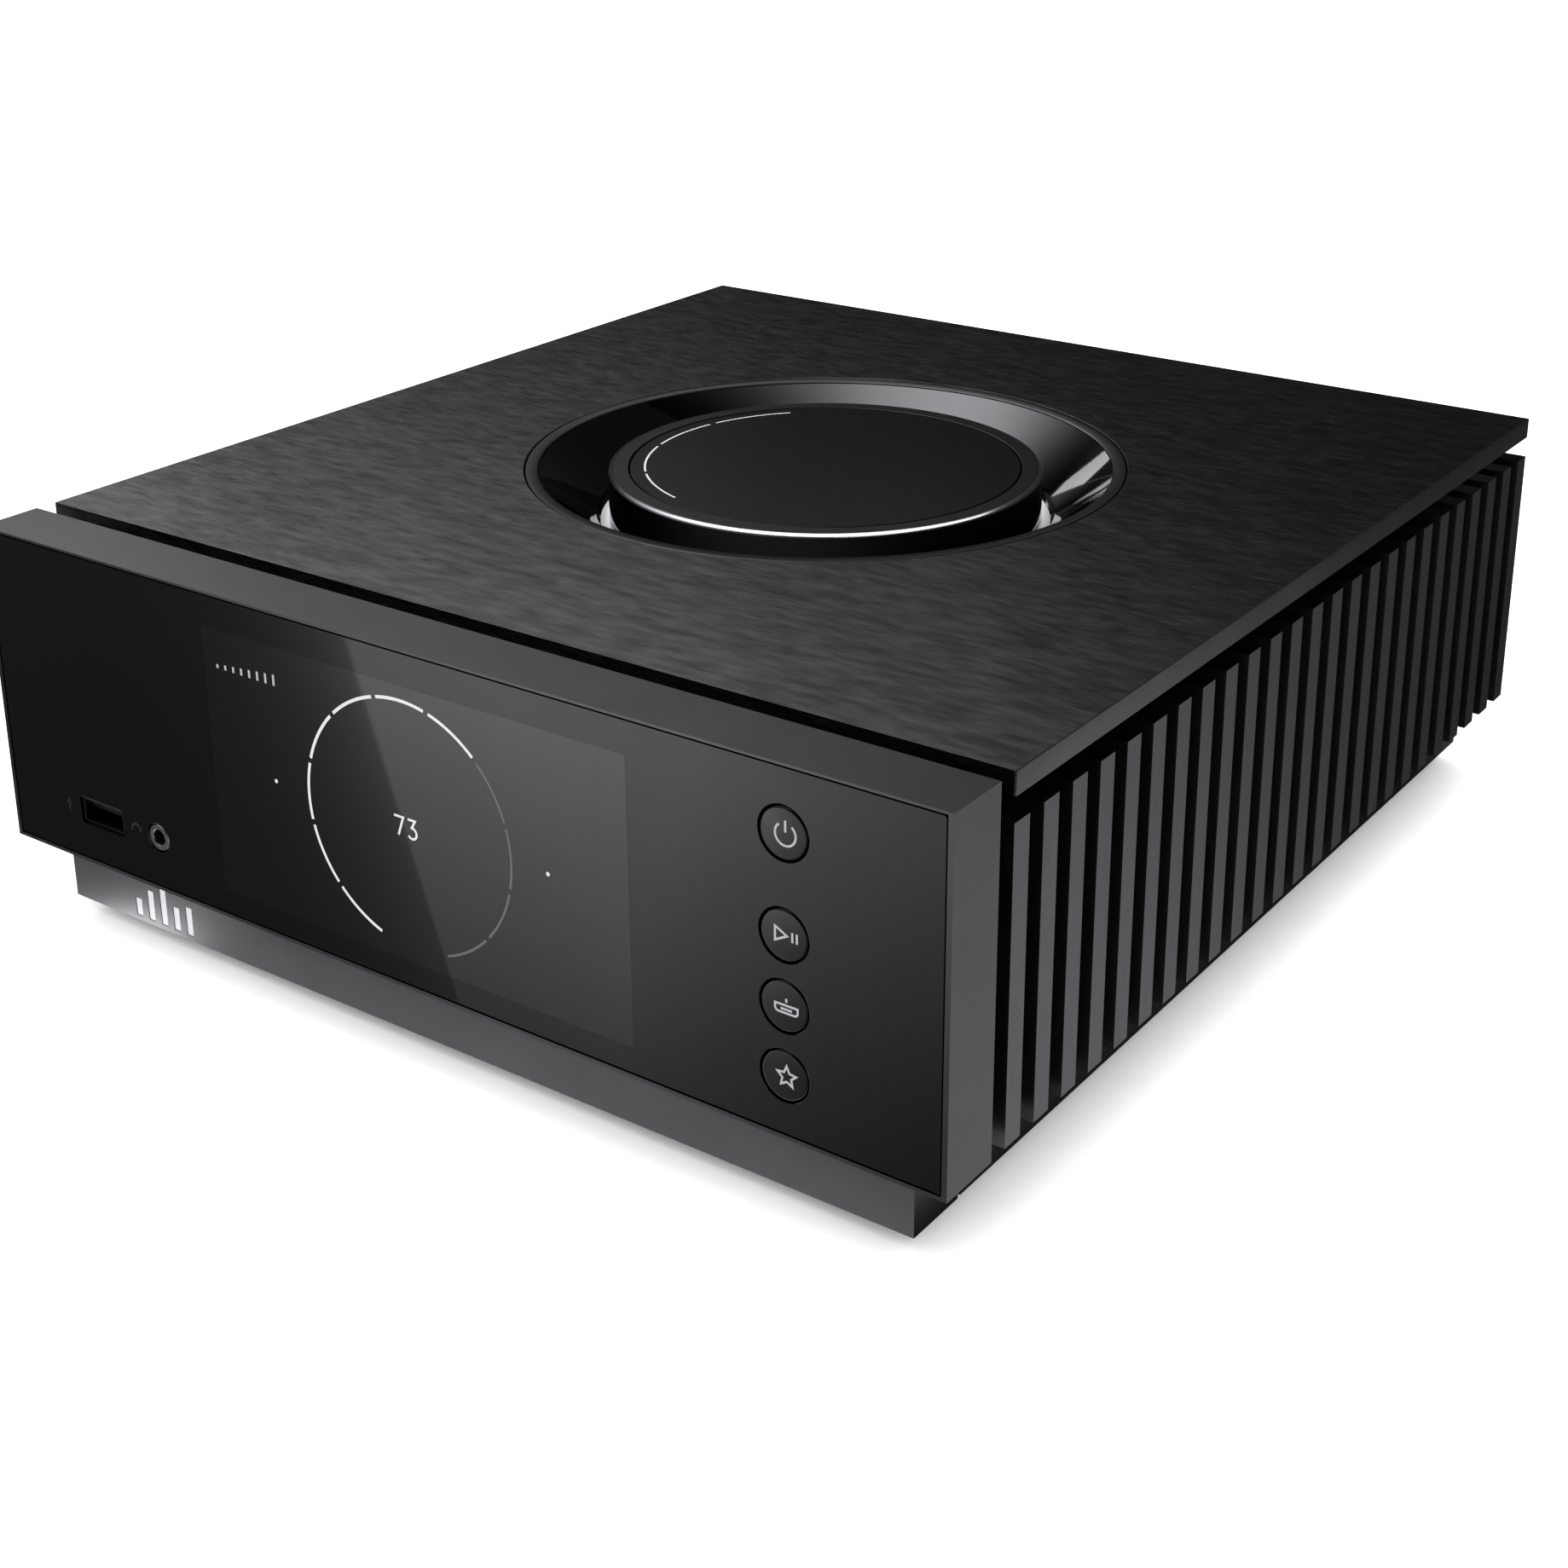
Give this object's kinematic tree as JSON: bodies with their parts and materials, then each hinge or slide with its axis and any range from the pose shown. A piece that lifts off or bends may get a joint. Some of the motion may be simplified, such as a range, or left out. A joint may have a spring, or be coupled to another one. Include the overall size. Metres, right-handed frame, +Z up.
{
  "type": "desktop dac",
  "caption": "Compact black desktop DAC and network player with a glass front, round display graphic, push buttons, side heatsink fins and a large volume ring sunk into the top plate.",
  "frame": {"origin": "middle of the footprint, at the level of the feet's undersides", "axes": "+Z up, +Y from the glass front to the rear panel, +X to the right as seen from the front"},
  "size_m": [0.245, 0.265, 0.092],
  "materials": {
    "satin_aluminium": "satin black anodised",
    "brushed_aluminium": "black anodised, finely brushed from side to side",
    "black_glass": "gloss, printed black behind",
    "display": "smooth screen",
    "black_chrome": "polished black chrome",
    "black_plastic": "moulded, satin",
    "black_steel": "fine black powder coat",
    "light_guide": "translucent, lit from behind",
    "foot_rubber": "matt",
    "circuit_board": "solder mask",
    "plated_steel": "nickel plated",
    "magnet": "dull grey",
    "gold_plate": "gold plated",
    "winding_tape": "amber tape",
    "capacitor_sleeve": "shrunk sleeve",
    "ribbon": "flat cable",
    "red_plastic": "moulded, satin"
  },
  "bodies": {
    "case": {"front_bezel": "satin_aluminium", "front_glass": "black_glass", "display_module": "display", "front_board": "circuit_board", "front_socket_board": "circuit_board", "front_usb_socket": "plated_steel", "headphone_jack": "black_plastic", "front_subframe": "black_steel", "top_plate": "brushed_aluminium", "inner_cover": "black_steel", "dial_well": "black_chrome", "dial_disc": "black_glass", "dial_light_ring": "light_guide", "dial_pedestal": "black_steel", "dial_board": "circuit_board", "bearing_inner_race": "plated_steel", "left_heatsink": "satin_aluminium", "right_heatsink": "satin_aluminium", "plinth_front": "satin_aluminium", "plinth_light_guide": "light_guide", "base_tray": "black_steel", "foot_front_left": "foot_rubber", "foot_front_right": "foot_rubber", "foot_rear_left": "foot_rubber", "foot_rear_right": "foot_rubber", "rear_panel": "black_steel", "mains_inlet": "black_plastic", "rocker_housing": "black_plastic", "preamp_output": "gold_plate", "coaxial_input": "gold_plate", "analogue_input": "gold_plate", "speaker_left_negative": "black_plastic", "speaker_left_positive": "red_plastic", "speaker_right_negative": "black_plastic", "speaker_right_positive": "red_plastic", "optical_input": "black_plastic", "ethernet_socket": "plated_steel", "hdmi_socket": "plated_steel", "rear_usb_socket": "plated_steel", "antenna_socket": "gold_plate", "toroidal_transformer": "winding_tape", "transformer_clamp": "plated_steel", "main_board": "circuit_board", "analogue_board": "circuit_board", "power_supply_board": "circuit_board", "reservoir_capacitor_front": "capacitor_sleeve", "reservoir_capacitor_rear": "capacitor_sleeve", "amplifier_board_left": "circuit_board", "amplifier_board_right": "circuit_board", "ribbon_cable": "ribbon"},
    "dial": {"volume_ring": "black_chrome", "bearing_outer_race": "plated_steel", "encoder_magnet_ring": "magnet"},
    "ball_cage": {"bearing_ball_cage": "plated_steel"},
    "power_button": {"button_power": "black_plastic"},
    "play_button": {"button_play": "black_plastic"},
    "input_button": {"button_input": "black_plastic"},
    "favourite_button": {"button_favourite": "black_plastic"},
    "mains_rocker": {"power_rocker": "black_plastic"},
    "shutter": {"optical_shutter": "black_plastic"}
  },
  "joints": [
    {"name": "dial_turn", "type": "hinge", "parent": "case", "child": "dial", "pos_m": [0, 0.0089, 0.086], "axis": [0, 0, 1], "continuous": true},
    {"name": "ball_cage_turn", "type": "hinge", "parent": "case", "child": "ball_cage", "pos_m": [0, 0.0089, 0.0833], "axis": [0, 0, 1], "continuous": true},
    {"name": "power_press", "type": "slide", "parent": "case", "child": "power_button", "axis": [0, 1, 0], "range_m": [0, 0.0008], "stiffness_N_per_m": 800},
    {"name": "play_press", "type": "slide", "parent": "case", "child": "play_button", "axis": [0, 1, 0], "range_m": [0, 0.0008], "stiffness_N_per_m": 800},
    {"name": "input_press", "type": "slide", "parent": "case", "child": "input_button", "axis": [0, 1, 0], "range_m": [0, 0.0008], "stiffness_N_per_m": 800},
    {"name": "favourite_press", "type": "slide", "parent": "case", "child": "favourite_button", "axis": [0, 1, 0], "range_m": [0, 0.0008], "stiffness_N_per_m": 800},
    {"name": "mains_rocker_tilt", "type": "hinge", "parent": "case", "child": "mains_rocker", "pos_m": [-0.078, 0.1196, 0.066], "axis": [-1, 0, 0], "range_deg": [0, 18]},
    {"name": "shutter_fold", "type": "hinge", "parent": "case", "child": "shutter", "pos_m": [-0.009, 0.124, 0.06595], "axis": [-1, 0, 0], "range_deg": [0, 80], "stiffness_Nm_per_rad": 0.0008}
  ],
  "couplings": [
    {"joint": "ball_cage_turn", "follows": "dial_turn", "ratio": 0.5242}
  ]
}
